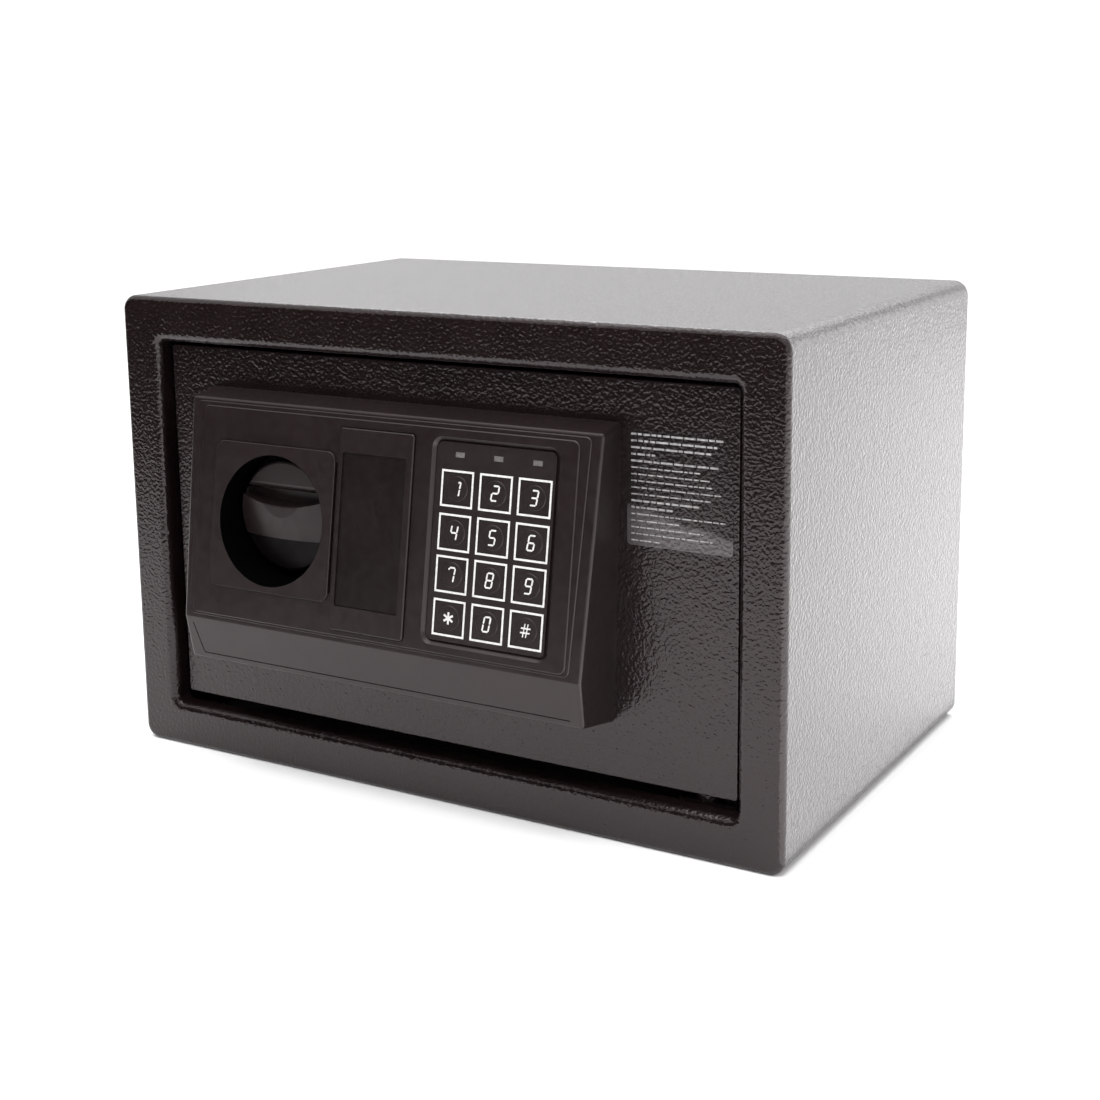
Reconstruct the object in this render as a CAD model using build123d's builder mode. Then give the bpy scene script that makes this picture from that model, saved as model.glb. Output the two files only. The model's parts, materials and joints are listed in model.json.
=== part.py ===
"""Hotel in-room safe: folded steel case, steel door with a plastic keypad housing, and the lockwork."""
from build123d import *
import math
import os

os.makedirs("parts", exist_ok=True)

# Frame: +X right, +Y towards the back, +Z up; origin on the floor at the middle of the case.

# Case
WIDTH = 310.0
DEPTH = 200.0
HEIGHT = 200.0
SHEET = 2.0
CASE_CORNER_R = 6.5
FRONT_FOLD_R = 2.5
FRONT = -DEPTH / 2
BACK = DEPTH / 2
OPENING_W = 272.0
OPENING_LOW = 19.0
OPENING_HIGH = 181.0
OPENING_R = 3.0
LIP_DEPTH = 9.0
LIP_FOLD_R = 3.5
ANCHOR_HOLE_R = 5.0
BASE_HOLE_PITCH = 180.0
REAR_HOLE_PITCH = 150.0
REAR_HOLE_Z = 120.0
REAR_INSET = 1.0
MAT_T = 1.6
MAT_Y = (FRONT + 12.0, BACK - 4.0)
MAT_SIDE_GAP = 8.0
MAT_NOTCH = (34.0, 52.0)
KEEPER_X = -OPENING_W / 2 - 4.0
KEEPER_W = 25.0
KEEPER_H = 118.0

# Door plate
DOOR_X = (-133.0, 134.0)
DOOR_LOW = 23.5
DOOR_HIGH = 179.2
DOOR_RECESS = 6.0
DOOR_T = 4.0
DOOR_FRONT = FRONT + DOOR_RECESS
DOOR_BACK = DOOR_FRONT + DOOR_T
DOOR_MID_Z = (DOOR_LOW + DOOR_HIGH) / 2

# Hinge
HINGE_X = 118.0
HINGE_Y = -85.0
PIN_R = 3.0
PIN_L = 22.0
PIN_MID_Z = (25.0, 174.0)
PIN_REACH = 5.6
WASHER_RIM = 1.6
WASHER_T = 3.1
RUNNING_GAP = 0.06
LUG_W = 14.0
LUG_H = 12.0
LUG_BACK = -79.0
BRACKET_T = 3.0
BRACKET_X = (HINGE_X - 10.0, HINGE_X + 14.0)
BRACKET_FRONT = -5.0
BRACKET_BACK = HINGE_Y + 11.0
BRACKET_FOOT = 13.0

# Control housing on the door
TILT = math.atan(0.16)
FACE_MID_Z = 115.0
FACE_MID_Y = -114.2
FACE_NORMAL = (0, -math.cos(TILT), math.sin(TILT))
FACE = Plane(origin=(0, FACE_MID_Y, FACE_MID_Z), x_dir=(1, 0, 0), z_dir=FACE_NORMAL)
HOUSING_WALL = 2.5
HOUSING_EDGE_R = 1.6
HOUSING_PROFILE = [(-94.0, 162.8), (-107.0, 160.3), (-121.6, 69.0), (-118.2, 50.5), (-94.0, 45.8)]
HOUSING_TOP_X = (-110.8, 85.8)
HOUSING_LOW_X = (-108.4, 83.0)
BORDER_RISE = 0.5
BORDER_TOP_X = (-107.4, 81.2)
BORDER_LOW_X = (-105.2, 78.0)
BORDER_Z = (70.6, 158.9)
PANEL_RISE = 1.0
PANEL_X = (-103.5, 76.6)
PANEL_Z = (71.6, 157.2)
BAND_HIGH = HOUSING_PROFILE[2]
BAND_LOW = HOUSING_PROFILE[3]
BAND_L = math.dist(BAND_HIGH, BAND_LOW)
BAND = Plane(
    origin=(0, (BAND_HIGH[0] + BAND_LOW[0]) / 2, (BAND_HIGH[1] + BAND_LOW[1]) / 2),
    x_dir=(1, 0, 0),
    z_dir=(0, BAND_LOW[1] - BAND_HIGH[1], BAND_HIGH[0] - BAND_LOW[0]),
)
GROOVE = [(-104.0, 66.5), (-100.6, 53.2), (77.0, 53.2)]
GROOVE_W = 0.5
GROOVE_DEPTH = 0.35

# Openings in the housing and the door plate behind it
SERVICE_MID = (-12.5, 104.3)
SERVICE_SIZE = (180.0, 106.0)
BOSS_R = 4.0
BOSS_LENGTH_TOP = 13.0
BOSS_LENGTH_LOW = 24.5

# Knob and its lockwork
KNOB_X = -64.0
KNOB_Z = 113.3
KNOB_R = 23.1
WELL_R = 26.4
WELL_FLOOR_Y = -98.0
BEZEL_X = (-94.6, -33.3)
BEZEL_Z = (84.0, 143.5)
BEZEL_T = 0.9
BEZEL_CORNER = 4.0
BEZEL_GROOVE_W = 0.8
BEZEL_GROOVE_D = 0.9
BEZEL_WALL = 1.4
KNOB_BACK_Y = -99.2
KNOB_FACE_Y = -106.0
GRIP_POCKET = 4.5
GRIP_LOW = -9.0
GRIP_HIGH = 8.0
GRIP_WAIST = 4.8
GRIP_HALF_HIGH = 20.4
GRIP_HALF_LOW = 20.9
POCKET_TOP = 10.4
POCKET_HALF = 19.6
POCKET_SLOPE_TOP = 13.4
POCKET_SLOPE_D = 3.4
POCKET_SLOPE_MID = (0.9, 11.5)
BARREL_R = 80.0
BARREL_TILT = 6.0
BARREL_TOOL = 12.0
HUB_R = 8.6
HUB_BACK_Y = -95.8
GRIP_FACE_Y = -110.0
SPINDLE_R = 4.0
SPINDLE_BACK_Y = -85.4
SPINDLE_SOCKET = 7.2
CRANK_R = 14.0
KNOB_TURN = 70.0
REST_ANGLE = math.radians(KNOB_TURN / 2)
BOLT_TRAVEL = 16.0
DRIVE_PIN_R = 2.5
CARRIAGE_FRONT = -84.5
CARRIAGE_T = 2.0
BOLT_R = 6.0
BOLT_CLEARANCE = 0.7
BOLT_Y = -76.5
BOLT_ZS = (73.3, 153.3)
BOLT_TIP_X = -127.0
TAB_X = -104.0
GUIDE_X = -125.0
GUIDE_BACK = -68.5
GUIDE_H = 100.0
GUIDE_POSTS = [(-91.0, 100.0), (-91.0, 126.0), (-52.0, 100.0)]

# Fixings that pass through the door plate
HOUSING_SCREWS = [(-98.0, 149.0), (-98.0, 60.0), (76.0, 149.0), (76.0, 60.0)]
HARNESS_HOLE = (60.0, 118.0)

# Screws
COVER_SCREW_R = 1.5
COVER_SCREW_L = 9.0
COVER_SCREW_HEAD_R = 2.9
COVER_SCREW_HEAD_H = 1.6
SCREW_SLOT = (3.4, 0.8)
HOUSING_SCREW_HEAD_R = 3.4
HOUSING_SCREW_HEAD_H = 2.2

# Solenoid
SOLENOID_X = -40.0
SOLENOID_Y = -82.0
SOLENOID_Z = (48.0, 72.0)
SOLENOID_W = 20.0
COIL_R = 6.8
PLUNGER_LOW = 54.0
PLUNGER_L = 22.0
PLUNGER_COLLAR_R = 4.4
SPRING_WIRE_R = 0.25
PLUNGER_R = 2.5

# Key lock, keypad and label
LOCK_X = -13.8
LOCK_Z = 113.5
LOCK_R = 9.5
PLUG_R = 6.0
COVER_X = (-31.5, 4.0)
COVER_Z = (74.0, 153.5)
KEYPAD_X = (12.0, 69.0)
KEYPAD_Z = (74.5, 154.0)
COVER_PEG_Z = (80.0, 147.5)
KEYPAD_SINK = 1.8
KEY_COLUMNS = (24.0, 41.3, 58.5)
KEY_ROWS = (134.6, 118.0, 102.0, 85.5)
KEY_NAMES = ("1", "2", "3", "4", "5", "6", "7", "8", "9", "star", "0", "hash")
KEY_W = 12.4
KEY_H = 12.0
KEY_GAP = 0.3
LED_Z = 147.5
LABEL_X = (88.3, 131.5)
LABEL_Z = (116.8, 161.0)
LABEL_T = 0.2
LABEL_CORNER_R = 1.5

# Inner cover of the door
PAN_X = (-128.0, 106.0)
PAN_Z = (28.0, 173.0)
PAN_BACK = -62.0
PAN_T = 1.2
STANDOFFS = [(-112.0, 36.0), (-112.0, 166.5), (98.0, 36.0), (98.0, 166.5)]

# Batteries
BATTERY_R = 7.1
BATTERY_L = 50.0
BATTERY_PITCH = 14.8
BATTERY_NUB_R = 2.6
BATTERY_NUB_H = 1.4
BATTERY_BOX_D = 19.0
BATTERY_BOX_WALL = 1.5
BATTERY_MID = (48.0, 70.0)
BATTERY_BOX = (66.0, 58.0)
BATTERY_Y = -72.5

# Control board behind the door plate
BOARD_X = (20.0, 102.0)
BOARD_Z = (108.0, 158.0)
BOARD_FRONT = -84.0
BOARD_T = 1.6
RESET_X = 95.0
RESET_Z = 120.0


def at_y(y):
    """A plane facing the front (-Y) at a given depth; its local axes are X and Z."""
    return Plane.XZ.offset(-y)


def face_v(z):
    """Distance up the tilted face for a height above the floor."""
    return (z - FACE_MID_Z) / math.cos(TILT)


def band_v(z):
    """Distance up the lower band of the housing for a height above the floor."""
    return (z - BAND.origin.Z) * BAND_L / (BAND_HIGH[1] - BAND_LOW[1])


def face_span(z_range):
    """Middle and length up the tilted face for a range of heights."""
    low = face_v(z_range[0])
    high = face_v(z_range[1])
    return (low + high) / 2, high - low


def middle(span):
    return (span[0] + span[1]) / 2


def length(span):
    return span[1] - span[0]


def save(part, name):
    part.label = name
    export_step(part, f"parts/{name}.step")


# ---------------------------------------------------------------- case

def make_case():
    with BuildPart() as case_shell:
        with BuildSketch(at_y(BACK)):
            with Locations((0, HEIGHT / 2)):
                RectangleRounded(WIDTH, HEIGHT, CASE_CORNER_R)
        extrude(amount=DEPTH)
        fillet(case_shell.faces().sort_by(Axis.Y)[0].edges(), FRONT_FOLD_R)
        with BuildSketch(at_y(BACK)):
            with Locations((0, HEIGHT / 2)):
                RectangleRounded(WIDTH - 2 * SHEET, HEIGHT - 2 * SHEET, CASE_CORNER_R - SHEET)
        extrude(amount=DEPTH - SHEET, mode=Mode.SUBTRACT)
        opening_z = (OPENING_LOW, OPENING_HIGH)
        with BuildSketch(at_y(FRONT + SHEET)):
            with Locations((0, middle(opening_z))):
                RectangleRounded(OPENING_W + 2 * SHEET, length(opening_z) + 2 * SHEET, OPENING_R + SHEET)
        extrude(amount=-(LIP_DEPTH - SHEET))
        with BuildSketch(at_y(FRONT)):
            with Locations((0, middle(opening_z))):
                RectangleRounded(OPENING_W, length(opening_z), OPENING_R)
        extrude(amount=-LIP_DEPTH, mode=Mode.SUBTRACT)
        mouth = case_shell.edges().group_by(Axis.Y)[0]
        inner = mouth.filter_by(lambda e: abs(e.center().X) < WIDTH / 2 - 15)
        inner = inner.filter_by(lambda e: OPENING_LOW - 1 < e.center().Z < OPENING_HIGH + 1)
        fillet(inner, LIP_FOLD_R)
        with Locations(Plane.XY):
            with GridLocations(BASE_HOLE_PITCH, 1, 2, 1):
                Cylinder(ANCHOR_HOLE_R, 3 * SHEET, mode=Mode.SUBTRACT)
    save(case_shell.part, "case_shell")

    with BuildPart() as rear_panel:
        with BuildSketch(at_y(BACK - REAR_INSET)):
            with Locations((0, HEIGHT / 2)):
                RectangleRounded(WIDTH - 2 * SHEET, HEIGHT - 2 * SHEET, CASE_CORNER_R - SHEET)
            with Locations((0, REAR_HOLE_Z)):
                with GridLocations(REAR_HOLE_PITCH, 1, 2, 1):
                    Circle(ANCHOR_HOLE_R, mode=Mode.SUBTRACT)
        extrude(amount=SHEET)
    save(rear_panel.part, "rear_panel")

    with BuildPart() as floor_mat:
        with BuildSketch(Plane.XY.offset(SHEET)):
            with Locations((0, middle(MAT_Y))):
                RectangleRounded(WIDTH - 2 * MAT_SIDE_GAP, length(MAT_Y), 4)
            with GridLocations(BASE_HOLE_PITCH, 1, 2, 1):
                Circle(ANCHOR_HOLE_R + 4, mode=Mode.SUBTRACT)
            with Locations((HINGE_X + 2, HINGE_Y)):
                Rectangle(*MAT_NOTCH, mode=Mode.SUBTRACT)
        extrude(amount=MAT_T)
    save(floor_mat.part, "floor_mat")

    with BuildPart() as bolt_keeper:
        with BuildSketch(Plane.YZ.offset(KEEPER_X)):
            with Locations((BOLT_Y - 2, middle(BOLT_ZS))):
                RectangleRounded(KEEPER_W, KEEPER_H, 3)
            with Locations(*[(BOLT_Y, z) for z in BOLT_ZS]):
                Circle(BOLT_R + BOLT_CLEARANCE, mode=Mode.SUBTRACT)
        extrude(amount=SHEET)
    save(bolt_keeper.part, "bolt_keeper")


# ---------------------------------------------------------------- hinge

def make_bracket(name, lug_low, stem_z, foot_low):
    """A folded bracket on the case: a lug around the pin, a stem behind it and a welded foot."""
    with BuildPart() as bracket:
        with BuildSketch(Plane.XY.offset(lug_low)):
            with Locations((middle(BRACKET_X), (HINGE_Y + BRACKET_FRONT + BRACKET_BACK) / 2)):
                Rectangle(length(BRACKET_X), BRACKET_BACK - HINGE_Y - BRACKET_FRONT)
            with Locations((HINGE_X, HINGE_Y)):
                Circle(PIN_R, mode=Mode.SUBTRACT)
        extrude(amount=BRACKET_T)
        with BuildSketch(Plane.XY.offset(stem_z[0])):
            with Locations((middle(BRACKET_X), BRACKET_BACK - BRACKET_T / 2)):
                Rectangle(length(BRACKET_X), BRACKET_T)
        extrude(amount=length(stem_z))
        with BuildSketch(Plane.XY.offset(foot_low)):
            with Locations((middle(BRACKET_X), BRACKET_BACK + BRACKET_FOOT / 2 - 1.5)):
                Rectangle(length(BRACKET_X), BRACKET_FOOT)
        extrude(amount=SHEET)
    save(bracket.part, name)


def make_hinge():
    top_wall = HEIGHT - SHEET
    upper_lug = PIN_MID_Z[1] + PIN_L / 2 - PIN_REACH
    lower_lug = PIN_MID_Z[0] - PIN_L / 2 + PIN_REACH - BRACKET_T
    make_bracket("hinge_bracket_upper", upper_lug, (upper_lug + BRACKET_T, top_wall), top_wall - SHEET)
    make_bracket("hinge_bracket_lower", lower_lug, (SHEET, lower_lug), SHEET)

    with BuildPart() as hinge_pins:
        with Locations(*[(HINGE_X, HINGE_Y, z) for z in PIN_MID_Z]):
            Cylinder(PIN_R, PIN_L)
    save(hinge_pins.part, "hinge_pins")

    with BuildPart() as hinge_washer:
        washer_low = PIN_MID_Z[0] - PIN_L / 2 + PIN_REACH
        with BuildSketch(Plane.XY.offset(washer_low)):
            with Locations((HINGE_X, HINGE_Y)):
                Circle(PIN_R + WASHER_RIM)
                Circle(PIN_R, mode=Mode.SUBTRACT)
        extrude(amount=WASHER_T)
    save(hinge_washer.part, "hinge_washer")

    with BuildPart() as hinge_lugs:
        for low in (DOOR_LOW + 0.5, DOOR_HIGH - 0.5 - LUG_H):
            with BuildSketch(Plane.XY.offset(low)):
                with Locations((HINGE_X, (DOOR_BACK + LUG_BACK) / 2)):
                    Rectangle(LUG_W, LUG_BACK - DOOR_BACK)
                with Locations((HINGE_X, HINGE_Y)):
                    Circle(PIN_R + RUNNING_GAP, mode=Mode.SUBTRACT)
            extrude(amount=LUG_H)
    save(hinge_lugs.part, "hinge_lugs")


# ---------------------------------------------------------------- door

def make_door():
    with BuildPart() as door_plate:
        with BuildSketch(at_y(DOOR_FRONT)):
            with Locations((middle(DOOR_X), DOOR_MID_Z)):
                RectangleRounded(length(DOOR_X), DOOR_HIGH - DOOR_LOW, 1.5)
            with Locations((KNOB_X, KNOB_Z)):
                Circle(SPINDLE_R + 3, mode=Mode.SUBTRACT)
            with Locations((LOCK_X, LOCK_Z)):
                Circle(LOCK_R, mode=Mode.SUBTRACT)
            with Locations(HARNESS_HOLE):
                Circle(5, mode=Mode.SUBTRACT)
            with Locations(*HOUSING_SCREWS):
                Circle(2.0, mode=Mode.SUBTRACT)
        extrude(amount=-DOOR_T)
        fillet(door_plate.faces().sort_by(Axis.Y)[0].outer_wire().edges(), 0.8)
    save(door_plate.part, "door_plate")

    with BuildPart() as instruction_label:
        with BuildSketch(at_y(DOOR_FRONT)):
            with Locations((middle(LABEL_X), middle(LABEL_Z))):
                RectangleRounded(length(LABEL_X), length(LABEL_Z), LABEL_CORNER_R)
        extrude(amount=LABEL_T)
    save(instruction_label.part, "instruction_label")


def housing_sides(margin):
    """Outline of the housing seen from the front, drawn in by a margin."""
    top = HEIGHT
    low = 0
    low_z, top_z = BAND_HIGH[1], HOUSING_PROFILE[1][1]
    slope_left = (HOUSING_TOP_X[0] - HOUSING_LOW_X[0]) / (top_z - low_z)
    slope_right = (HOUSING_TOP_X[1] - HOUSING_LOW_X[1]) / (top_z - low_z)
    left = [HOUSING_LOW_X[0] + slope_left * (z - low_z) + margin for z in (low, top)]
    right = [HOUSING_LOW_X[1] + slope_right * (z - low_z) - margin for z in (low, top)]
    return [(left[0], low), (right[0], low), (right[1], top), (left[1], top)]


def border_outline():
    """Corners of the low step around the panel, in the tilted face."""
    low, high = (face_v(z) for z in BORDER_Z)
    return [(BORDER_LOW_X[0], low), (BORDER_LOW_X[1], low), (BORDER_TOP_X[1], high), (BORDER_TOP_X[0], high)]


def face_outline(part):
    """Edges around the largest face that lies in the tilt of the front."""
    tilted = part.faces().filter_by(lambda f: f.normal_at().dot(Vector(*FACE_NORMAL)) > 0.999)
    return tilted.sort_by(SortBy.AREA)[-1].outer_wire().edges()


def housing_block(margin):
    """The housing's outer form, or with a margin the hollow inside it."""
    with BuildPart() as block:
        with BuildSketch(Plane.YZ.offset(-WIDTH / 2)):
            with BuildLine():
                Polyline(*HOUSING_PROFILE, close=True)
            make_face()
            if margin:
                offset(amount=-margin, kind=Kind.INTERSECTION)
        extrude(amount=WIDTH)
        with BuildSketch(at_y(DOOR_BACK)):
            with BuildLine():
                Polyline(*housing_sides(margin), close=True)
            make_face()
        extrude(amount=50, mode=Mode.INTERSECT)
    return block.part


def make_housing():
    panel_v, panel_h = face_span(PANEL_Z)
    cover_v, cover_h = face_span(COVER_Z)
    pad_v, pad_h = face_span(KEYPAD_Z)
    bezel_v, bezel_h = face_span(BEZEL_Z)
    hollow = housing_block(HOUSING_WALL)
    with BuildPart() as control_housing:
        add(housing_block(0))
        front_edges = control_housing.edges().filter_by(lambda e: e.center().Y < DOOR_FRONT - 1)
        fillet(front_edges, HOUSING_EDGE_R)
        with BuildSketch(FACE) as border:
            with BuildLine():
                Polyline(*border_outline(), close=True)
            make_face()
            fillet(border.vertices(), 2.5)
        extrude(amount=BORDER_RISE)
        chamfer(face_outline(control_housing), 0.35)
        with BuildSketch(FACE):
            with Locations((middle(PANEL_X), panel_v)):
                RectangleRounded(length(PANEL_X), panel_h, 3.0)
        extrude(amount=PANEL_RISE)
        chamfer(face_outline(control_housing), 0.4)
        with BuildSketch(BAND):
            with BuildLine():
                FilletPolyline(*[(x, band_v(z)) for x, z in GROOVE], radius=1.5)
            trace(line_width=GROOVE_W)
        extrude(amount=-GROOVE_DEPTH, mode=Mode.SUBTRACT)
        add(hollow, mode=Mode.SUBTRACT)
        with BuildSketch(at_y(DOOR_FRONT)):
            with Locations(SERVICE_MID):
                Rectangle(*SERVICE_SIZE)
        extrude(amount=HOUSING_WALL + 0.5, mode=Mode.SUBTRACT)
        for x, z in HOUSING_SCREWS:
            with BuildSketch(at_y(DOOR_FRONT)):
                with Locations((x, z)):
                    Circle(BOSS_R)
            extrude(amount=BOSS_LENGTH_TOP if z > SERVICE_MID[1] else BOSS_LENGTH_LOW)
        with BuildSketch(at_y(DOOR_FRONT)):
            with Locations(*HOUSING_SCREWS):
                Circle(1.75)
        extrude(amount=9, mode=Mode.SUBTRACT)
        with BuildSketch(at_y(DOOR_FRONT)):
            with Locations((KNOB_X, KNOB_Z)):
                Circle(WELL_R + 1.5)
        extrude(amount=40, mode=Mode.SUBTRACT)
        with BuildSketch(FACE.offset(PANEL_RISE)):
            with Locations((BEZEL_X[1] + BEZEL_GROOVE_W / 2, bezel_v)):
                Rectangle(BEZEL_GROOVE_W, bezel_h - 2 * BEZEL_CORNER)
        extrude(amount=-BEZEL_GROOVE_D, mode=Mode.SUBTRACT)
        with BuildSketch(FACE.offset(PANEL_RISE)):
            with Locations((middle(COVER_X), cover_v)):
                RectangleRounded(length(COVER_X) + 2 * KEY_GAP, cover_h + 2 * KEY_GAP, 1.6)
        extrude(amount=-1.4, mode=Mode.SUBTRACT)
        with BuildSketch(at_y(DOOR_FRONT)):
            with Locations((LOCK_X, LOCK_Z)):
                Circle(LOCK_R)
        extrude(amount=30, mode=Mode.SUBTRACT)
        with BuildSketch(FACE.offset(PANEL_RISE)):
            with Locations(*[(LOCK_X, face_v(z)) for z in COVER_PEG_Z]):
                Circle(1.9)
        extrude(amount=-6, mode=Mode.SUBTRACT)
        with BuildSketch(FACE.offset(PANEL_RISE)):
            with Locations((middle(KEYPAD_X), pad_v)):
                RectangleRounded(length(KEYPAD_X), pad_h, 4.5)
        extrude(amount=-KEYPAD_SINK, taper=45, mode=Mode.SUBTRACT)
        with BuildSketch(FACE.offset(PANEL_RISE)):
            with Locations((middle(KEYPAD_X), pad_v)):
                RectangleRounded(length(KEYPAD_X) - 8, pad_h - 8, 1.0)
        extrude(amount=-8, mode=Mode.SUBTRACT)
    save(control_housing.part, "control_housing")


# ---------------------------------------------------------------- knob and lockwork

def crank_point(angle, radius):
    """A point around the knob's axis, by its angle from straight up."""
    return (KNOB_X + radius * math.sin(angle), KNOB_Z + radius * math.cos(angle))


def barrel_plane():
    """Cross-section plane of the grip's barrelled face, tipped a little downward."""
    tilt = math.radians(BARREL_TILT)
    up = (0, -math.sin(tilt), math.cos(tilt))
    return Plane(origin=(KNOB_X, GRIP_FACE_Y, KNOB_Z), x_dir=(1, 0, 0), z_dir=up)


def make_knob():
    bezel_v, bezel_h = face_span(BEZEL_Z)
    with BuildPart() as knob_bezel:
        with BuildSketch(at_y(WELL_FLOOR_Y + BEZEL_WALL)):
            with Locations((KNOB_X, KNOB_Z)):
                Circle(WELL_R + BEZEL_WALL)
        extrude(amount=40)
        split(bisect_by=FACE.offset(PANEL_RISE + 0.5), keep=Keep.BOTTOM)
        with BuildSketch(FACE.offset(PANEL_RISE)):
            with Locations((middle(BEZEL_X), bezel_v)):
                RectangleRounded(length(BEZEL_X), bezel_h, BEZEL_CORNER)
        extrude(amount=BEZEL_T)
        chamfer(face_outline(knob_bezel), 0.2)
        with BuildSketch(at_y(WELL_FLOOR_Y)):
            with Locations((KNOB_X, KNOB_Z)):
                Circle(WELL_R)
        extrude(amount=40, mode=Mode.SUBTRACT)
        with BuildSketch(at_y(WELL_FLOOR_Y + 2)):
            with Locations((KNOB_X, KNOB_Z)):
                Circle(HUB_R + 0.6)
        extrude(amount=3, mode=Mode.SUBTRACT)
    save(knob_bezel.part, "knob_bezel")

    side_x = KNOB_R - 0.4
    with BuildPart() as knob:
        with BuildSketch(at_y(KNOB_BACK_Y)):
            with Locations((KNOB_X, KNOB_Z)):
                Circle(KNOB_R)
        extrude(amount=KNOB_BACK_Y - KNOB_FACE_Y)
        fillet(knob.edges().group_by(Axis.Y)[0], 1.2)
        with BuildSketch(at_y(KNOB_FACE_Y)):
            with BuildLine(Location((KNOB_X, KNOB_Z))):
                ThreePointArc((-POCKET_HALF, GRIP_HIGH), (0, GRIP_WAIST - 0.2), (POCKET_HALF, GRIP_HIGH))
                Line((POCKET_HALF, GRIP_HIGH), (POCKET_HALF, POCKET_TOP))
                Line((POCKET_HALF, POCKET_TOP), (-POCKET_HALF, POCKET_TOP))
                Line((-POCKET_HALF, POCKET_TOP), (-POCKET_HALF, GRIP_HIGH))
            make_face()
        extrude(amount=-GRIP_POCKET, mode=Mode.SUBTRACT)
        with BuildSketch(Plane.YZ.offset(KNOB_X)):
            with BuildLine(Location((KNOB_FACE_Y, KNOB_Z))):
                ThreePointArc((0, POCKET_SLOPE_TOP), POCKET_SLOPE_MID, (POCKET_SLOPE_D, POCKET_TOP))
                Line((POCKET_SLOPE_D, POCKET_TOP), (-1, POCKET_TOP))
                Line((-1, POCKET_TOP), (-1, POCKET_SLOPE_TOP))
                Line((-1, POCKET_SLOPE_TOP), (0, POCKET_SLOPE_TOP))
            make_face()
        extrude(amount=KNOB_R, both=True, mode=Mode.SUBTRACT)
        with BuildSketch(at_y(KNOB_FACE_Y + GRIP_POCKET)):
            with BuildLine(Location((KNOB_X, KNOB_Z))):
                Line((-GRIP_HALF_LOW, GRIP_LOW), (GRIP_HALF_LOW, GRIP_LOW))
                ThreePointArc((GRIP_HALF_LOW, GRIP_LOW), (side_x, -0.5), (GRIP_HALF_HIGH, GRIP_HIGH))
                ThreePointArc((GRIP_HALF_HIGH, GRIP_HIGH), (0, GRIP_WAIST), (-GRIP_HALF_HIGH, GRIP_HIGH))
                ThreePointArc((-GRIP_HALF_HIGH, GRIP_HIGH), (-side_x, -0.5), (-GRIP_HALF_LOW, GRIP_LOW))
            make_face()
        extrude(amount=KNOB_FACE_Y + GRIP_POCKET - GRIP_FACE_Y)
        fillet(knob.edges().group_by(Axis.Y)[0], 0.5)
        with BuildSketch(barrel_plane()):
            Rectangle(2 * KNOB_R, 2 * BARREL_TOOL)
            with Locations((0, BARREL_R)):
                Circle(BARREL_R, mode=Mode.SUBTRACT)
            with Locations((0, BARREL_TOOL)):
                Rectangle(2 * KNOB_R, BARREL_TOOL, mode=Mode.SUBTRACT)
        extrude(amount=KNOB_R, both=True, mode=Mode.SUBTRACT)
        with BuildSketch(at_y(HUB_BACK_Y)):
            with Locations((KNOB_X, KNOB_Z)):
                Circle(HUB_R)
        extrude(amount=HUB_BACK_Y - KNOB_BACK_Y + 0.6)
        with BuildSketch(at_y(HUB_BACK_Y)):
            with Locations((KNOB_X, KNOB_Z)):
                Circle(SPINDLE_R)
        extrude(amount=SPINDLE_SOCKET, mode=Mode.SUBTRACT)
    save(knob.part, "knob")

    with BuildPart() as knob_spindle:
        with BuildSketch(at_y(SPINDLE_BACK_Y)):
            with Locations((KNOB_X, KNOB_Z)):
                Circle(SPINDLE_R)
        extrude(amount=SPINDLE_BACK_Y - HUB_BACK_Y + SPINDLE_SOCKET)
    save(knob_spindle.part, "knob_spindle")

    with BuildPart() as spindle_bushing:
        with BuildSketch(at_y(-89.0)):
            with Locations((KNOB_X, KNOB_Z)):
                Circle(SPINDLE_R + 3)
        extrude(amount=5)
        with BuildSketch(at_y(DOOR_FRONT)):
            with Locations((KNOB_X, KNOB_Z)):
                Circle(SPINDLE_R + 5)
        extrude(amount=1.5)
        with BuildSketch(at_y(-88.0)):
            with Locations((KNOB_X, KNOB_Z)):
                Circle(SPINDLE_R + RUNNING_GAP)
        extrude(amount=10, mode=Mode.SUBTRACT)
    save(spindle_bushing.part, "spindle_bushing")

    with BuildPart() as drive_cam:
        with BuildSketch(at_y(-85.5)):
            with Locations((KNOB_X, KNOB_Z)):
                Circle(8.0)
            mid = crank_point(REST_ANGLE, CRANK_R / 2)
            with Locations(Location((mid[0], mid[1], 0), (0, 0, 90 - KNOB_TURN / 2))):
                Rectangle(CRANK_R, 9.0)
            with Locations(crank_point(REST_ANGLE, CRANK_R)):
                Circle(4.5)
            with Locations((KNOB_X, KNOB_Z)):
                Circle(SPINDLE_R, mode=Mode.SUBTRACT)
        extrude(amount=2.5)
        with BuildSketch(at_y(-81.8)):
            with Locations(crank_point(REST_ANGLE, CRANK_R)):
                Circle(DRIVE_PIN_R)
        extrude(amount=4.2)
    save(drive_cam.part, "drive_cam")


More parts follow.
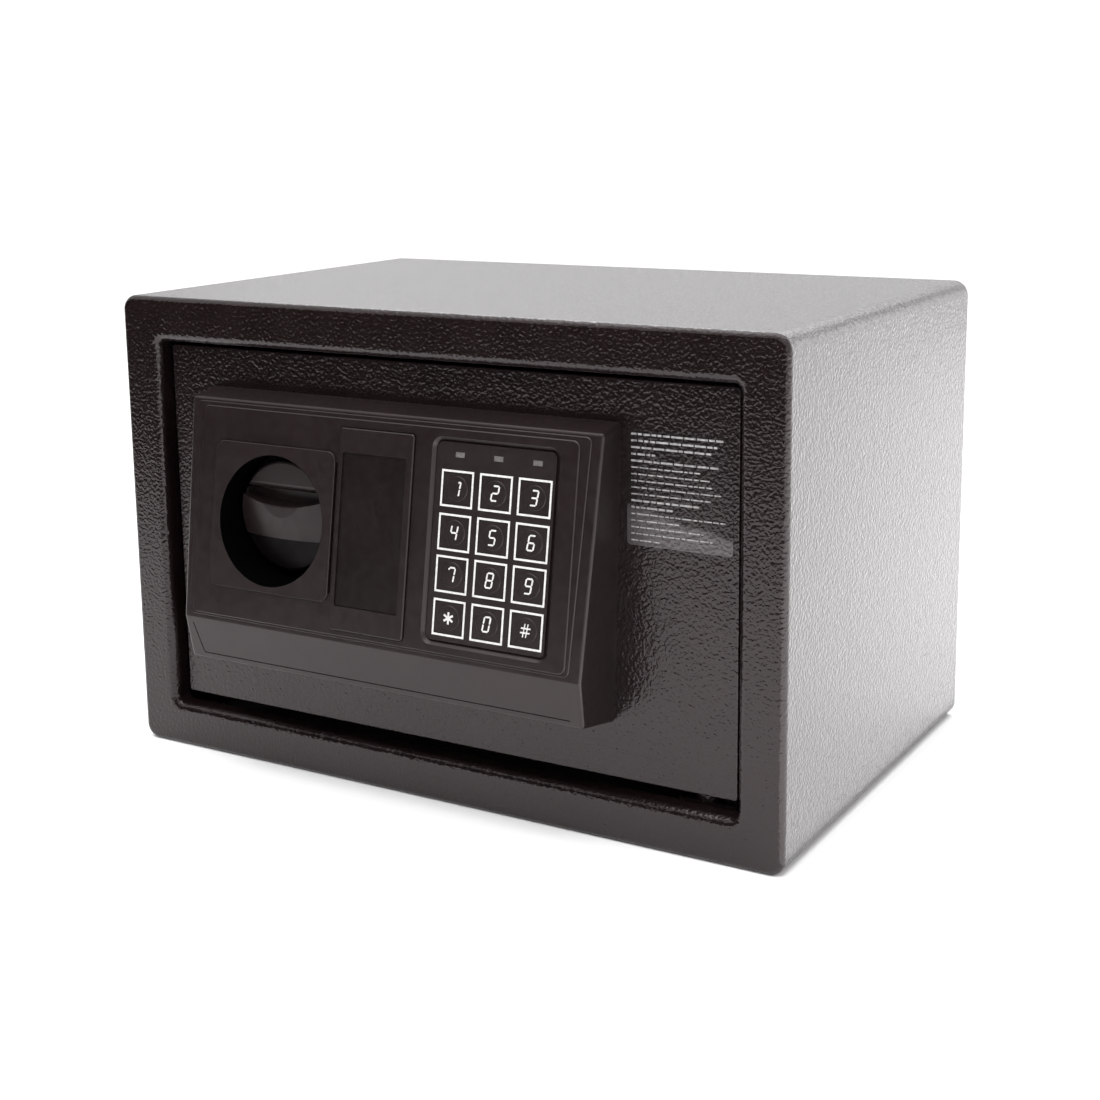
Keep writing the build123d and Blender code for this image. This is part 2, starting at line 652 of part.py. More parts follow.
def make_carriage():
    slot_l = BOLT_TRAVEL + 2 * DRIVE_PIN_R + 1.0
    tooth = (SOLENOID_X + 4.8, SOLENOID_X + 11.2)
    with BuildPart() as bolt_carriage:
        with BuildSketch(at_y(CARRIAGE_FRONT + CARRIAGE_T)):
            with Locations(((TAB_X + tooth[1]) / 2, 109.0)):
                Rectangle(tooth[1] - TAB_X, 50.0)
            with Locations((TAB_X + 10, middle(BOLT_ZS))):
                Rectangle(20, BOLT_ZS[1] - BOLT_ZS[0] + 16)
            with Locations((middle(tooth), 81.0)):
                Rectangle(length(tooth), 8.0)
            with Locations((crank_point(REST_ANGLE, CRANK_R)[0], KNOB_Z + 12.7)):
                SlotOverall(8.8, 2 * DRIVE_PIN_R + 0.8, rotation=90, mode=Mode.SUBTRACT)
            with Locations(*[(x + BOLT_TRAVEL / 2, z) for x, z in GUIDE_POSTS]):
                SlotOverall(slot_l, 2 * (DRIVE_PIN_R + RUNNING_GAP), mode=Mode.SUBTRACT)
        extrude(amount=CARRIAGE_T)
        for z in BOLT_ZS:
            with BuildSketch(Plane.YZ.offset(TAB_X)):
                with Locations(((CARRIAGE_FRONT + BOLT_Y + BOLT_R + 1) / 2, z)):
                    Rectangle(BOLT_Y + BOLT_R + 1 - CARRIAGE_FRONT, 16)
                with Locations((BOLT_Y, z)):
                    Circle(3.0, mode=Mode.SUBTRACT)
            extrude(amount=2)
    save(bolt_carriage.part, "bolt_carriage")

    with BuildPart() as locking_bolts:
        for z in BOLT_ZS:
            with BuildSketch(Plane.YZ.offset(BOLT_TIP_X)):
                with Locations((BOLT_Y, z)):
                    Circle(BOLT_R)
            extrude(amount=TAB_X - BOLT_TIP_X)
        tips = locking_bolts.edges().group_by(Axis.X)[0]
        chamfer(tips, 1.0)
        for z in BOLT_ZS:
            with BuildSketch(Plane.YZ.offset(TAB_X)):
                with Locations((BOLT_Y, z)):
                    Circle(3.0)
            extrude(amount=2)
            with BuildSketch(Plane.YZ.offset(TAB_X + 2)):
                with Locations((BOLT_Y, z)):
                    Circle(4.5)
            extrude(amount=1.5)
    save(locking_bolts.part, "locking_bolts")

    with BuildPart() as bolt_guide:
        with BuildSketch(Plane.YZ.offset(GUIDE_X)):
            with Locations(((DOOR_BACK + GUIDE_BACK) / 2, middle(BOLT_ZS))):
                Rectangle(GUIDE_BACK - DOOR_BACK, GUIDE_H)
            with Locations(*[(BOLT_Y, z) for z in BOLT_ZS]):
                Circle(BOLT_R + RUNNING_GAP, mode=Mode.SUBTRACT)
        extrude(amount=2.5)
    save(bolt_guide.part, "bolt_guide")

    with BuildPart() as guide_posts:
        for depth, radius, tall in ((CARRIAGE_FRONT - 0.3, 4.0, 5.2), (-80.6, 2.5, 4.2), (-80.6, 4.3, 1.5)):
            with BuildSketch(at_y(depth)):
                with Locations(*GUIDE_POSTS):
                    Circle(radius)
            extrude(amount=tall)
    save(guide_posts.part, "guide_posts")


def make_solenoid():
    low, high = SOLENOID_Z
    with BuildPart() as solenoid_frame:
        with BuildSketch(at_y(DOOR_BACK)):
            with Locations((SOLENOID_X, middle(SOLENOID_Z))):
                Rectangle(SOLENOID_W, high - low)
        extrude(amount=-1.0)
        for z in (low, high - 2):
            with BuildSketch(Plane.XY.offset(z)):
                with Locations((SOLENOID_X, SOLENOID_Y)):
                    Rectangle(SOLENOID_W, 16)
            extrude(amount=2)
        with BuildSketch(Plane.XY.offset(high - 3)):
            with Locations((SOLENOID_X, SOLENOID_Y)):
                Circle(PLUNGER_R + RUNNING_GAP)
        extrude(amount=4, mode=Mode.SUBTRACT)
    save(solenoid_frame.part, "solenoid_frame")

    with BuildPart() as solenoid_coil:
        with BuildSketch(Plane.XY.offset(low + 2)):
            with Locations((SOLENOID_X, SOLENOID_Y)):
                Circle(COIL_R)
            with Locations((SOLENOID_X + 8.5, -80.0)):
                Rectangle(5, 6)
        extrude(amount=high - low - 4)
        with BuildSketch(Plane.XY.offset(low + 4)):
            with Locations((SOLENOID_X, SOLENOID_Y)):
                Circle(PLUNGER_R + RUNNING_GAP)
        extrude(amount=high - low, mode=Mode.SUBTRACT)
    save(solenoid_coil.part, "solenoid_coil")

    with BuildPart() as solenoid_plunger:
        with BuildSketch(Plane.XY.offset(PLUNGER_LOW)):
            with Locations((SOLENOID_X, SOLENOID_Y)):
                Circle(PLUNGER_R)
        extrude(amount=PLUNGER_L)
        chamfer(solenoid_plunger.edges().group_by(Axis.Z)[-1], 0.5)
        with BuildSketch(Plane.XY.offset(high + 2.6)):
            with Locations((SOLENOID_X, SOLENOID_Y)):
                Circle(PLUNGER_COLLAR_R)
        extrude(amount=0.8)
    save(solenoid_plunger.part, "solenoid_plunger")

    with BuildPart() as plunger_spring:
        with BuildLine(Plane.XY.offset(high + 0.3).move(Location((SOLENOID_X, SOLENOID_Y, 0)))) as turns:
            Helix(pitch=0.65, height=1.95, radius=3.4)
        with BuildSketch(Plane(origin=turns.line @ 0, z_dir=turns.line % 0)):
            Circle(SPRING_WIRE_R)
        sweep(is_frenet=True)
    save(plunger_spring.part, "plunger_spring")


# ---------------------------------------------------------------- key lock and its cover

def make_lock():
    with BuildPart() as lock_body:
        with BuildSketch(at_y(-86.0)):
            with Locations((LOCK_X, LOCK_Z)):
                Circle(LOCK_R)
                Circle(PLUG_R + RUNNING_GAP, mode=Mode.SUBTRACT)
        extrude(amount=26.2)
    save(lock_body.part, "lock_body")

    with BuildPart() as lock_plug:
        with BuildSketch(at_y(-84.6)):
            with Locations((LOCK_X, LOCK_Z)):
                Circle(PLUG_R)
        extrude(amount=27.4)
        with BuildSketch(at_y(-112.0)):
            with Locations((LOCK_X, LOCK_Z)):
                SlotOverall(8.0, 1.8, rotation=90)
        extrude(amount=-6, mode=Mode.SUBTRACT)
        with BuildSketch(at_y(-81.5)):
            with Locations((LOCK_X, LOCK_Z)):
                Circle(2.5)
        extrude(amount=4)
    save(lock_plug.part, "lock_plug")

    with BuildPart() as lock_nut:
        with BuildSketch(at_y(-87.0)):
            with Locations((LOCK_X, LOCK_Z)):
                RegularPolygon(radius=12.5, side_count=6, major_radius=False)
                Circle(LOCK_R, mode=Mode.SUBTRACT)
        extrude(amount=3)
    save(lock_nut.part, "lock_nut")

    with BuildPart() as lock_cam:
        with BuildSketch(at_y(-83.0)):
            with Locations((LOCK_X, LOCK_Z - 6)):
                SlotOverall(20, 8, rotation=90)
            with Locations((LOCK_X, LOCK_Z)):
                Circle(2.5, mode=Mode.SUBTRACT)
        extrude(amount=1.5)
    save(lock_cam.part, "lock_cam")

    cover_v, cover_h = face_span(COVER_Z)
    panel_v, panel_h = face_span((83.5, 144.0))
    with BuildPart() as key_cover:
        with BuildSketch(FACE.offset(-0.1)):
            with Locations((middle(COVER_X), cover_v)):
                RectangleRounded(length(COVER_X), cover_h, 1.4)
        extrude(amount=2.1)
        chamfer(face_outline(key_cover), 0.4)
        with BuildSketch(FACE.offset(2.0)):
            with Locations((-14.3, panel_v)):
                RectangleRounded(30.4, panel_h, 0.8)
        extrude(amount=-0.7, mode=Mode.SUBTRACT)
        with BuildSketch(FACE.offset(-0.1)):
            with Locations(*[(LOCK_X, face_v(z)) for z in COVER_PEG_Z]):
                Circle(1.5)
        extrude(amount=-4.0)
    save(key_cover.part, "key_cover")


# ---------------------------------------------------------------- keypad

def make_keypad():
    mid_x = middle(KEYPAD_X)
    pad_v, pad_h = face_span(KEYPAD_Z)
    floor_w = length(KEYPAD_X) - 2 * KEYPAD_SINK - 0.4
    floor_h = pad_h - 2 * KEYPAD_SINK - 0.4
    key_points = [(x, face_v(z)) for z in KEY_ROWS for x in KEY_COLUMNS]
    led_points = [(x + 0.5, face_v(LED_Z)) for x in KEY_COLUMNS]
    pad_low = PANEL_RISE - KEYPAD_SINK
    pad_top = pad_low + 1.0

    with BuildPart() as keypad_overlay:
        with BuildSketch(FACE.offset(pad_low)):
            with Locations((mid_x, pad_v)):
                RectangleRounded(floor_w, floor_h, 2.6)
            with Locations(*key_points):
                RectangleRounded(KEY_W + 2 * KEY_GAP, KEY_H + 2 * KEY_GAP, 0.8, mode=Mode.SUBTRACT)
            with Locations(*led_points):
                Rectangle(4.0, 2.0, mode=Mode.SUBTRACT)
        extrude(amount=1.0)
    save(keypad_overlay.part, "keypad_overlay")

    for name, point in zip(KEY_NAMES, key_points):
        with BuildPart() as key:
            with BuildSketch(FACE.offset(pad_low)):
                with Locations(point):
                    RectangleRounded(KEY_W, KEY_H, 0.6)
            extrude(amount=1.0)
            with BuildSketch(FACE.offset(pad_top)):
                with Locations(point):
                    Circle(4.9)
            extrude(amount=0.25, taper=45)
            with BuildSketch(FACE.offset(pad_low)):
                with Locations(point):
                    Circle(1.5)
            extrude(amount=-2.2)
        save(key.part, f"key_{name}")

    with BuildPart() as led_lenses:
        with BuildSketch(FACE.offset(pad_low)):
            with Locations(*led_points):
                Rectangle(4.0, 2.0)
        extrude(amount=1.1)
    save(led_lenses.part, "led_lenses")

    board_front = -8.4
    with BuildPart() as keypad_board:
        with BuildSketch(FACE.offset(board_front)):
            with Locations((mid_x, pad_v)):
                RectangleRounded(56, 80, 1.5)
        extrude(amount=-1.6)
        with BuildSketch(FACE.offset(board_front - 1.6)):
            with Locations((30.0, pad_v + 12)):
                Rectangle(12, 12)
            with Locations((52.0, pad_v - 24)):
                Rectangle(9, 14)
        extrude(amount=-2.0)
    save(keypad_board.part, "keypad_board")

    with BuildPart() as key_switches:
        with BuildSketch(FACE.offset(board_front)):
            with Locations(*key_points):
                RectangleRounded(6, 6, 0.4)
        extrude(amount=3.5)
        with BuildSketch(FACE.offset(board_front + 3.5)):
            with Locations(*key_points):
                Circle(1.7)
        extrude(amount=1.2)
    save(key_switches.part, "key_switches")

    with BuildPart() as buzzer:
        with BuildSketch(FACE.offset(board_front - 1.6)):
            with Locations((32.0, pad_v - 24)):
                Circle(6)
        extrude(amount=-4.5)
    save(buzzer.part, "buzzer")


# ---------------------------------------------------------------- inside of the door

def make_inner_cover():
    mid = (middle(PAN_X), middle(PAN_Z))
    with BuildPart() as inner_cover:
        with BuildSketch(at_y(PAN_BACK)):
            with Locations(mid):
                RectangleRounded(length(PAN_X), length(PAN_Z), 4.0)
        extrude(amount=PAN_BACK - DOOR_BACK)
        fillet(inner_cover.edges().group_by(Axis.Y)[-1], 2.0)
        with BuildSketch(at_y(PAN_BACK - PAN_T)):
            with Locations(mid):
                RectangleRounded(length(PAN_X) - 2 * PAN_T, length(PAN_Z) - 2 * PAN_T, 2.8)
        extrude(amount=PAN_BACK - PAN_T - DOOR_BACK, mode=Mode.SUBTRACT)
        with BuildSketch(at_y(PAN_BACK)):
            with Locations(BATTERY_MID):
                RectangleRounded(61.0, 53.0, 2.0)
            with Locations((RESET_X, RESET_Z)):
                Circle(3.9)
            with Locations(*STANDOFFS):
                Circle(1.8)
        extrude(amount=4, mode=Mode.SUBTRACT)
        with BuildSketch(Plane.YZ.offset(PAN_X[0] - 1)):
            with Locations(*[(BOLT_Y, z) for z in BOLT_ZS]):
                Circle(BOLT_R + BOLT_CLEARANCE)
        extrude(amount=4, mode=Mode.SUBTRACT)
    save(inner_cover.part, "inner_cover")

    stand_back = PAN_BACK - PAN_T
    with BuildPart() as cover_standoffs:
        with BuildSketch(at_y(stand_back)):
            with Locations(*STANDOFFS):
                Circle(3.5)
        extrude(amount=stand_back - DOOR_BACK)
        with BuildSketch(at_y(stand_back)):
            with Locations(*STANDOFFS):
                Circle(1.55)
        extrude(amount=9, mode=Mode.SUBTRACT)
    save(cover_standoffs.part, "cover_standoffs")

    with BuildPart() as cover_screws:
        with BuildSketch(at_y(PAN_BACK + COVER_SCREW_HEAD_H)):
            with Locations(*STANDOFFS):
                Circle(COVER_SCREW_HEAD_R)
        extrude(amount=COVER_SCREW_HEAD_H)
        fillet(cover_screws.edges().group_by(Axis.Y)[-1], 0.7)
        with BuildSketch(at_y(PAN_BACK + COVER_SCREW_HEAD_H)):
            for x, z in STANDOFFS:
                for turn in (0, 90):
                    with Locations(Location((x, z, 0), (0, 0, turn))):
                        Rectangle(*SCREW_SLOT)
        extrude(amount=0.9, mode=Mode.SUBTRACT)
        with BuildSketch(at_y(PAN_BACK)):
            with Locations(*STANDOFFS):
                Circle(COVER_SCREW_R)
        extrude(amount=COVER_SCREW_L)
    save(cover_screws.part, "cover_screws")

    with BuildPart() as housing_screws:
        with BuildSketch(at_y(DOOR_BACK + HOUSING_SCREW_HEAD_H)):
            with Locations(*HOUSING_SCREWS):
                Circle(HOUSING_SCREW_HEAD_R)
        extrude(amount=HOUSING_SCREW_HEAD_H)
        with BuildSketch(at_y(DOOR_BACK)):
            with Locations(*HOUSING_SCREWS):
                Circle(1.75)
        extrude(amount=12)
    save(housing_screws.part, "housing_screws")


def make_power():
    box_w, box_h = BATTERY_BOX
    cells = [(BATTERY_MID[0] + (n - 1.5) * BATTERY_PITCH, BATTERY_Y) for n in range(4)]
    low = BATTERY_MID[1] - BATTERY_L / 2
    high = BATTERY_MID[1] + BATTERY_L / 2
    with BuildPart() as battery_box:
        with BuildSketch(at_y(PAN_BACK - PAN_T)):
            with Locations(BATTERY_MID):
                RectangleRounded(box_w, box_h, 2.0)
        extrude(amount=BATTERY_BOX_D)
        with BuildSketch(at_y(PAN_BACK - PAN_T)):
            with Locations(BATTERY_MID):
                RectangleRounded(box_w - 4, box_h - 3, 1.0)
        extrude(amount=BATTERY_BOX_D - BATTERY_BOX_WALL, mode=Mode.SUBTRACT)
    save(battery_box.part, "battery_box")

    with BuildPart() as batteries:
        with BuildSketch(Plane.XY.offset(low)):
            with Locations(*cells):
                Circle(BATTERY_R)
        extrude(amount=BATTERY_L - BATTERY_NUB_H)
        fillet(batteries.edges(), 0.6)
        with BuildSketch(Plane.XY.offset(high - BATTERY_NUB_H)):
            with Locations(*cells):
                Circle(BATTERY_NUB_R)
        extrude(amount=BATTERY_NUB_H)
    save(batteries.part, "batteries")

    with BuildPart() as battery_contacts:
        for z in (low - 2.5, high):
            with BuildSketch(Plane.XY.offset(z)):
                with Locations(*cells):
                    Circle(3.6)
            extrude(amount=2.5)
    save(battery_contacts.part, "battery_contacts")

    with BuildPart() as battery_cover:
        with BuildSketch(at_y(PAN_BACK + 0.2)):
            with Locations(BATTERY_MID):
                RectangleRounded(box_w + 2, box_h + 2, 3.0)
        extrude(amount=-1.6)
        fillet(battery_cover.edges().group_by(Axis.Y)[-1], 0.8)
        with BuildSketch(at_y(PAN_BACK + 1.8)):
            with Locations((BATTERY_MID[0], BATTERY_MID[1] + 19)):
                with GridLocations(1, 3.0, 1, 4):
                    SlotOverall(18, 1.2)
        extrude(amount=0.6, mode=Mode.SUBTRACT)
        with BuildSketch(at_y(PAN_BACK + 0.2)):
            with Locations(BATTERY_MID):
                RectangleRounded(60.2, 52.2, 1.6)
                RectangleRounded(57.2, 49.2, 1.0, mode=Mode.SUBTRACT)
        extrude(amount=1.8)
    save(battery_cover.part, "battery_cover")

    board_mid = (middle(BOARD_X), middle(BOARD_Z))
    stand_x = (BOARD_X[0] + 4, BOARD_X[1] - 4)
    stand_z = (BOARD_Z[0] + 4, BOARD_Z[1] - 4)
    with BuildPart() as control_board:
        with BuildSketch(at_y(BOARD_FRONT + BOARD_T)):
            with Locations(board_mid):
                RectangleRounded(length(BOARD_X), length(BOARD_Z), 1.5)
        extrude(amount=BOARD_T)
        for x, z, wide, tall, deep in (
            (20.5 + 4, 121.0, 8, 6, 5.0), (60.0, 112.0, 10, 6, 5.0), (52.0, 138.0, 12, 12, 1.8),
            (78.0, 142.0, 9, 14, 3.0), (RESET_X, RESET_Z, 6, 6, 12.0),
        ):
            with BuildSketch(at_y(BOARD_FRONT + BOARD_T)):
                with Locations((x, z)):
                    Rectangle(wide, tall)
            extrude(amount=-deep)
    save(control_board.part, "control_board")

    with BuildPart() as board_standoffs:
        with BuildSketch(at_y(BOARD_FRONT)):
            with Locations(*[(x, z) for x in stand_x for z in stand_z]):
                Circle(2.5)
        extrude(amount=BOARD_FRONT - DOOR_BACK)
    save(board_standoffs.part, "board_standoffs")

    with BuildPart() as reset_button:
        with BuildSketch(at_y(PAN_BACK + COVER_SCREW_HEAD_H)):
            with Locations((RESET_X, RESET_Z)):
                Circle(3.5)
        extrude(amount=6.6)
        fillet(reset_button.edges().group_by(Axis.Y)[-1], 0.8)
        with BuildSketch(at_y(PAN_BACK - 2.0)):
            with Locations((RESET_X, RESET_Z)):
                Circle(5.0)
        extrude(amount=1.2)
    save(reset_button.part, "reset_button")

    lead_y = -80.0
    keypad_back = FACE_MID_Y - math.tan(TILT) * (FACE_MID_Z - HARNESS_HOLE[1]) + 10.3 / math.cos(TILT)
    with BuildPart() as wire_harness:
        with BuildLine() as keypad_lead:
            hole_x, hole_z = HARNESS_HOLE
            Line((hole_x, keypad_back, hole_z), (hole_x, BOARD_FRONT, hole_z))
        with BuildSketch(Plane(origin=keypad_lead.line @ 0, z_dir=keypad_lead.line % 0)):
            Circle(1.5)
        sweep(path=keypad_lead.wires()[0])
        with BuildLine() as solenoid_lead:
            FilletPolyline(
                (SOLENOID_X + 11, lead_y, 60), (4, lead_y, 60), (4, lead_y, 121), (20.5, lead_y, 121),
                radius=8,
            )
        with BuildSketch(Plane(origin=solenoid_lead.line @ 0, z_dir=solenoid_lead.line % 0)):
            Circle(1.0)
        sweep(path=solenoid_lead.wires()[0])
        with BuildLine() as battery_lead:
            Line((60, lead_y, BATTERY_MID[1] + box_h / 2), (60, lead_y, 109))
        with BuildSketch(Plane(origin=battery_lead.line @ 0, z_dir=battery_lead.line % 0)):
            Circle(1.0)
        sweep(path=battery_lead.wires()[0])
    save(wire_harness.part, "wire_harness")


make_case()
make_hinge()
make_door()
make_housing()
make_knob()
make_carriage()
make_solenoid()
make_lock()
make_keypad()
make_inner_cover()
make_power()
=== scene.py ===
"""Hotel in-room safe: finishes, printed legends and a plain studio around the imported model."""

import json
import math
import random

import bmesh
import bpy
from mathutils import Matrix, Vector


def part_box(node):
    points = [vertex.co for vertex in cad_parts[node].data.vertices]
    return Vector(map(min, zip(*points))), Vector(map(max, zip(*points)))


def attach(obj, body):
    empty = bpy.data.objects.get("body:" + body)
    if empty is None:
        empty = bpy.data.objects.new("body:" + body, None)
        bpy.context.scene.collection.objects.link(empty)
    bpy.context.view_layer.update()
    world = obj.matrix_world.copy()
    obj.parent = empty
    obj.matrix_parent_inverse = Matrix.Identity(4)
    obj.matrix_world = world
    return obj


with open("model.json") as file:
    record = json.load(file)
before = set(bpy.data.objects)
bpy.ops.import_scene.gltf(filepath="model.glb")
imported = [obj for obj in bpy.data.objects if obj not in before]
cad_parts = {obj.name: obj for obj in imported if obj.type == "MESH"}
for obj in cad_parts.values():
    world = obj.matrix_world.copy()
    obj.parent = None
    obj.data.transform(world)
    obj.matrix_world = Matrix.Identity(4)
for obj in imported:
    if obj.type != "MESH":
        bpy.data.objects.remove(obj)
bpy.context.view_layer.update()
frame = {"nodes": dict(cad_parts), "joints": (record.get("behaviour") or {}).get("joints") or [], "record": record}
nodes = frame["nodes"]
joints = {joint["name"]: joint for joint in frame["joints"]}

MM = 0.001
RIGHT = Vector((1, 0, 0))
UP = Vector((0, 0, 1))

# Camera, in the row frame
CAMERA_AT = Vector((0.38587, -0.65349, 0.27765))
CAMERA_AZIMUTH = math.radians(30.58)
CAMERA_ELEVATION = math.radians(10.79)
CAMERA_ROLL = math.radians(-0.71)
CAMERA_LENS = 57.18
CAMERA_SENSOR = 36
CAMERA_SHIFT_Y = -0.1009

# The tilted front of the control housing: keys are pressed straight into it
INTO_FACE = Vector(joints["key_5_press"]["axis"]).normalized()
FACE_OUT = -INTO_FACE
FACE_UP = RIGHT.cross(INTO_FACE).normalized()

# Warm tint of every dark gloss
WARM = (1.0, 0.92, 0.93)

# Powder coat: two near-black browns under a wormy relief; grain scales are in noise cells per metre
PAINT_DARK = (0.0065, 0.0035, 0.0035)
PAINT_LIGHT = (0.0085, 0.005, 0.005)
PAINT_GRAIN = 720
PAINT_GRAIN_DEPTH = 0.25 * MM

# Moulded plastic
SATIN_DARK = (0.010, 0.006, 0.006)
SATIN_LIGHT = (0.012, 0.0075, 0.0075)
MOULD_MOTTLE = 45
MOULD_PATCHES = 260
MOULD_GRAIN = 1500
MOULD_GRAIN_DEPTH = 0.006 * MM

# Knob: its middle, the radius of its well and how far below the middle the grip bar ends; the well is painted
# shade and the disc below the grip a painted shadow, each with a soft edge
KNOB_AT = Vector(joints["knob_turn"]["pos_m"])
WELL_R = 26.45 * MM
WELL_SHADE_EDGE = 0.15 * MM
GRIP_DROP = 9.0 * MM
GRIP_SHADOW_EDGE = 0.2 * MM

# Printed pieces: thickness and the gap under them
PRINT_T = 0.04 * MM
PRINT_LIFT = 0.01 * MM


# ---------------------------------------------------------------- materials

class Finish:
    """A Principled material whose procedural detail is laid out in the object's own metres."""

    def __init__(self, name, roughness, metallic=0.0, specular=0.5, tint=(1, 1, 1)):
        self.material = bpy.data.materials.new(name)
        self.material.use_nodes = True
        self.tree = self.material.node_tree
        self.shader = self.tree.nodes["Principled BSDF"]
        self.shader.inputs["Roughness"].default_value = roughness
        self.shader.inputs["Metallic"].default_value = metallic
        self.shader.inputs["Specular IOR Level"].default_value = specular
        self.shader.inputs["Specular Tint"].default_value = (*tint, 1)
        self.place = self.tree.nodes.new("ShaderNodeTexCoord").outputs["Object"]
        self.normal = None

    def node(self, kind, **inputs):
        made = self.tree.nodes.new(kind)
        for name, value in inputs.items():
            made.inputs[name.replace("_", " ")].default_value = value
        return made

    def link(self, output, node, name):
        self.tree.links.new(output, node.inputs[name])

    def stretched(self, stretch):
        mapping = self.node("ShaderNodeMapping", Scale=stretch)
        self.link(self.place, mapping, "Vector")
        return mapping.outputs["Vector"]

    def axis(self, letter):
        split = self.node("ShaderNodeSeparateXYZ")
        self.link(self.place, split, "Vector")
        return split.outputs[letter]

    def noise(self, scale, detail=2.0, roughness=0.5, distortion=0.0, stretch=None):
        made = self.node("ShaderNodeTexNoise", Scale=scale, Detail=detail)
        made.inputs["Roughness"].default_value = roughness
        made.inputs["Distortion"].default_value = distortion
        self.link(self.stretched(stretch) if stretch else self.place, made, "Vector")
        return made.outputs["Fac"]

    def cells(self, scale):
        made = self.node("ShaderNodeTexVoronoi", Scale=scale)
        made.feature = "SMOOTH_F1"
        made.inputs["Smoothness"].default_value = 0.6
        self.link(self.place, made, "Vector")
        return made.outputs["Distance"]

    def ramp(self, value, low, high, start=0.0, end=1.0):
        """Take value from low..high to start..end, held at both ends."""
        made = self.node("ShaderNodeMapRange")
        for name, number in (("From Min", low), ("From Max", high), ("To Min", start), ("To Max", end)):
            made.inputs[name].default_value = number
        self.link(value, made, "Value")
        return made.outputs["Result"]

    def colours(self, value, dark, light, low=0.35, high=0.65):
        made = self.node("ShaderNodeValToRGB")
        first, last = made.color_ramp.elements
        first.position, first.color = low, (*dark, 1)
        last.position, last.color = high, (*light, 1)
        self.link(value, made, "Fac")
        self.link(made.outputs["Color"], self.shader, "Base Color")
        return self

    def shine(self, value, low, high, start=0.35, end=0.65):
        self.link(self.ramp(value, start, end, low, high), self.shader, "Roughness")
        return self

    def bump(self, height, depth, strength=1.0):
        made = self.node("ShaderNodeBump", Strength=strength, Distance=depth)
        self.link(height, made, "Height")
        if self.normal:
            self.link(self.normal, made, "Normal")
        self.normal = made.outputs["Normal"]
        self.link(self.normal, self.shader, "Normal")
        return self

    def add(self, first, second, weight):
        """first + weight * second"""
        made = self.node("ShaderNodeMath")
        made.operation = "MULTIPLY_ADD"
        made.inputs[1].default_value = weight
        self.tree.links.new(second, made.inputs[0])
        self.tree.links.new(first, made.inputs[2])
        return made.outputs["Value"]


def hammered_height(finish):
    """Wormy orange-peel relief of the powder coat."""
    worms = finish.noise(PAINT_GRAIN, detail=0.8, distortion=0.35)
    pits = finish.ramp(finish.cells(PAINT_GRAIN * 1.1), 0.1, 0.75)
    return finish.add(worms, pits, 0.25)


def hammered_paint(name):
    """Brown-black powder coat with a wormy orange-peel surface."""
    finish = Finish(name, 0.2, specular=0.5, tint=WARM)
    finish.colours(finish.noise(60, detail=3), PAINT_DARK, PAINT_LIGHT)
    finish.shine(finish.noise(900, detail=2), 0.17, 0.25)
    finish.bump(hammered_height(finish), PAINT_GRAIN_DEPTH)
    return finish.material


def mould_grain(finish, roughness):
    """Very fine spark-eroded grain, a little glossier in patches."""
    finish.shine(finish.noise(MOULD_PATCHES, detail=4), roughness - 0.04, roughness + 0.05)
    finish.bump(finish.noise(MOULD_GRAIN, detail=2), MOULD_GRAIN_DEPTH, 0.6)
    return finish.material


def moulded_plastic(name, dark, light, roughness, specular):
    """Satin black plastic."""
    finish = Finish(name, roughness, specular=specular, tint=WARM)
    finish.colours(finish.noise(MOULD_MOTTLE, detail=4), dark, light)
    return mould_grain(finish, roughness)


def plastic_with_painted_shade(finish, lit, dark, light, shade_specular, roughness, specular):
    """Satin plastic with painted shade where lit is 0: a darker colour there, and a lower specular level in place
    of specular.
    """
    # painted shade: dark is the shaded colour, light the lit one
    shade = finish.add(lit, finish.noise(MOULD_MOTTLE, detail=4), 0.2)
    finish.colours(shade, dark, light, 0.1, 1.15)
    finish.link(finish.ramp(lit, 0, 1, shade_specular, specular), finish.shader, "Specular IOR Level")
    return mould_grain(finish, roughness)


def bezel_plastic(light, roughness, specular):
    """Satin plastic whose knob well is painted dead black as shade: a near-black colour and little specular inside
    the well's radius.
    """
    finish = Finish("knob_bezel", roughness, specular=specular, tint=WARM)
    across = finish.node("ShaderNodeVectorMath")
    across.operation = "DISTANCE"
    finish.link(finish.stretched((1, 0, 1)), across, "Vector")
    across.inputs[1].default_value = (KNOB_AT.x, 0, KNOB_AT.z)
    # painted shade: inside WELL_R the bezel gets the near-black colour below and a low specular level
    clear_of_well_shade = finish.ramp(across.outputs["Value"], WELL_R, WELL_R + WELL_SHADE_EDGE)
    return plastic_with_painted_shade(finish, clear_of_well_shade, (0.0008, 0.0008, 0.0008), light, 0.05, roughness, specular)


def knob_plastic(light, roughness, specular):
    """Satin plastic with a painted shadow of the grip bar: darker and less specular on the disc below the grip."""
    finish = Finish("knob_plastic", roughness, specular=specular, tint=WARM)
    grip_low = KNOB_AT.z - GRIP_DROP
    # painted shadow: below the grip bar's lower edge the disc gets the darker colour and lower specular level
    clear_of_grip_shadow = finish.ramp(finish.axis("Z"), grip_low - GRIP_SHADOW_EDGE, grip_low)
    return plastic_with_painted_shade(finish, clear_of_grip_shadow, (0.002, 0.0015, 0.0015), light, 0.12, roughness, specular)


def plated_metal(name, dark, light, roughness, stretch):
    """Plated or machined metal; stretch squeezes its fine marks along each axis."""
    finish = Finish(name, roughness, metallic=1.0)
    marks = finish.noise(900, detail=3, stretch=stretch)
    finish.colours(marks, dark, light)
    finish.shine(marks, roughness - 0.06, roughness + 0.08)
    finish.bump(marks, 0.01 * MM)
    return finish.material


